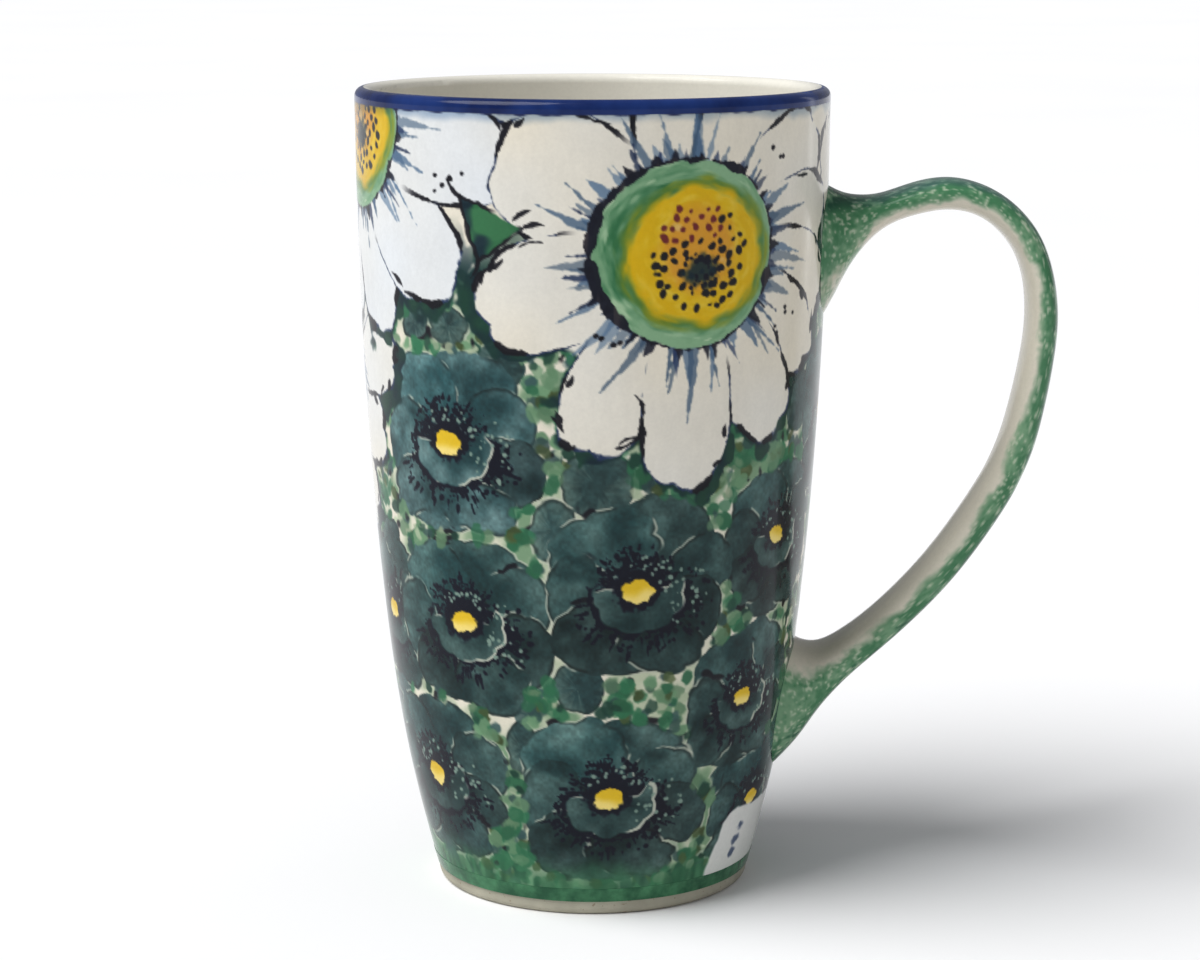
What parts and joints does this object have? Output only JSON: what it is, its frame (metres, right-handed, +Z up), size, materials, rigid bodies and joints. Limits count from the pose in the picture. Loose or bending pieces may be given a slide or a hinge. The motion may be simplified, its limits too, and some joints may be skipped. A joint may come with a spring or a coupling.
{
  "type": "stoneware mug",
  "caption": "Tall tapered stoneware mug with a flared open cup, a bare clay foot ring and a looped strap handle, glazed and hand-painted with poppies",
  "frame": {"origin": "centre of the foot ring's circle, on the cup's axis at table level", "axes": "+Z up along the cup's axis, +X towards the handle, +Y horizontal across the handle"},
  "size_m": [0.127, 0.0854, 0.146],
  "materials": {
    "stoneware_clay": "bare fired stoneware clay, fine and matt, where the foot ring is wiped clean of glaze",
    "joining_slip": "fired slip, the same clay body, smoothed round the handle's roots",
    "green_band_glaze": "clear gloss glaze over a thin watery dark green band",
    "painted_glaze": "clear gloss glaze over hand-painted dark teal poppies, green leaves and white flowers",
    "blue_rim_glaze": "clear gloss glaze over a cobalt blue band round the lip",
    "cream_glaze": "clear gloss glaze over pale cream clay",
    "speckled_handle_glaze": "clear gloss glaze over pale clay dabbed with green sponge speckle along the outer side"
  },
  "bodies": {
    "root": {"cup_body": "stoneware_clay", "handle": "stoneware_clay", "upper_slip_joint": "joining_slip", "lower_slip_joint": "joining_slip", "foot_band": "green_band_glaze", "wall_glaze": "painted_glaze", "rim_band": "blue_rim_glaze", "liner_glaze": "cream_glaze", "base_glaze": "cream_glaze", "handle_glaze": "speckled_handle_glaze"}
  },
  "joints": []
}
